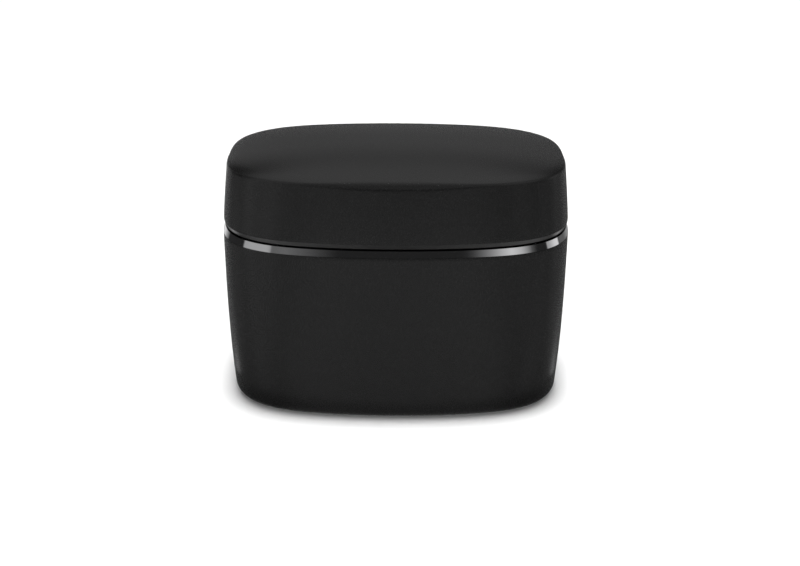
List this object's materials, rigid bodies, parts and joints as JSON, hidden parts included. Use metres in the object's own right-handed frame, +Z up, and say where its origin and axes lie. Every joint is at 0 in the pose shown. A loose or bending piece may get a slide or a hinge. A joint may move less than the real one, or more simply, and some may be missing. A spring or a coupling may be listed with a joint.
{
  "type": "hearing aid charger",
  "caption": "Lidded charging case for a pair of hearing aids: soft-touch body with a bright trim ring, hinged domed lid, charging wells, status button and power inlet.",
  "frame": {"origin": "on the resting plane, under the middle of the case", "axes": "+Z up, front of the case towards -Y, hinge towards +Y, +X to the right seen from the front"},
  "size_m": [0.0986, 0.0633, 0.0743],
  "materials": {
    "black_rubber": "matt elastomer",
    "board_green": "solder-masked laminate",
    "capacitor_tan": "sintered ceramic",
    "cell_wrap": "laminated foil pouch",
    "chip_black": "moulded package",
    "coil_copper": "enamelled copper",
    "connector_black": "moulded nylon",
    "connector_white": "moulded nylon",
    "dark_chrome": "polished dark chrome",
    "ferrite_grey": "sintered ferrite",
    "frame_grey": "moulded plastic",
    "hinge_metal": "satin black coated metal",
    "inlet_steel": "nickel-plated steel",
    "led_body": "clear moulded package",
    "light_pipe": "clear diffusing moulding",
    "magnet_nickel": "nickel plating",
    "marker_blue": "gloss inlay",
    "marker_red": "gloss inlay",
    "plate_grey": "satin film",
    "ribbon_amber": "polyimide film",
    "screw_steel": "zinc-plated steel",
    "soft_touch_black": "soft-touch matte black moulding",
    "tape_white": "double-sided tape",
    "tray_black": "fine satin moulding",
    "well_gloss_black": "polished black moulding",
    "wire_black": "insulated wire",
    "wire_red": "insulated wire"
  },
  "bodies": {
    "base": {"base_housing": "soft_touch_black", "base_magnets": "magnet_nickel", "battery_cell": "cell_wrap", "battery_connector": "connector_white", "battery_cradle": "frame_grey", "battery_tape": "tape_white", "battery_wire_black": "wire_black", "battery_wire_red": "wire_red", "board_capacitors": "capacitor_tan", "board_screws": "screw_steel", "bottom_cover": "soft_touch_black", "bottom_cover_screws": "screw_steel", "charge_control_chip": "chip_black", "charging_tray": "tray_black", "coil_driver_chips": "chip_black", "coil_ferrites": "ferrite_grey", "coil_leads": "coil_copper", "controller_chip": "chip_black", "gauge_light_pipes": "light_pipe", "hinge_bracket": "hinge_metal", "hinge_bracket_screws": "screw_steel", "hinge_pin": "screw_steel", "indicator_board": "board_green", "indicator_board_screws": "screw_steel", "indicator_leds": "led_body", "indicator_ribbon": "ribbon_amber", "left_charging_coil": "coil_copper", "left_charging_well": "well_gloss_black", "left_coil_holder": "frame_grey", "left_side_marker": "marker_blue", "main_board": "board_green", "power_inductor": "ferrite_grey", "rating_plate": "plate_grey", "ribbon_connectors": "connector_white", "right_charging_coil": "coil_copper", "right_charging_well": "well_gloss_black", "right_coil_holder": "frame_grey", "right_side_marker": "marker_red", "rubber_feet": "black_rubber", "seal_gasket": "black_rubber", "side_light_pipes": "light_pipe", "status_switch_body": "connector_black", "tray_screws": "screw_steel", "trim_ring": "dark_chrome", "usb_inlet_shell": "inlet_steel", "usb_inlet_tongue": "connector_black"},
    "lid": {"lid_outer_shell": "soft_touch_black", "lid_inner_liner": "tray_black", "lid_magnets": "magnet_nickel", "lid_hinge_leaf": "hinge_metal", "lid_leaf_screws": "screw_steel"},
    "status_button": {"status_button_cap": "soft_touch_black", "status_switch_plunger": "frame_grey"}
  },
  "joints": [
    {"name": "lid_hinge", "type": "hinge", "parent": "base", "child": "lid", "pos_m": [0, 0.0298, 0.0529], "axis": [-1, 0, 0], "range_deg": [0, 100]},
    {"name": "status_button_press", "type": "slide", "parent": "base", "child": "status_button", "axis": [0, -1, 0], "range_m": [0, 0.0006], "stiffness_N_per_m": 1500, "springref_m": -0.0002}
  ]
}
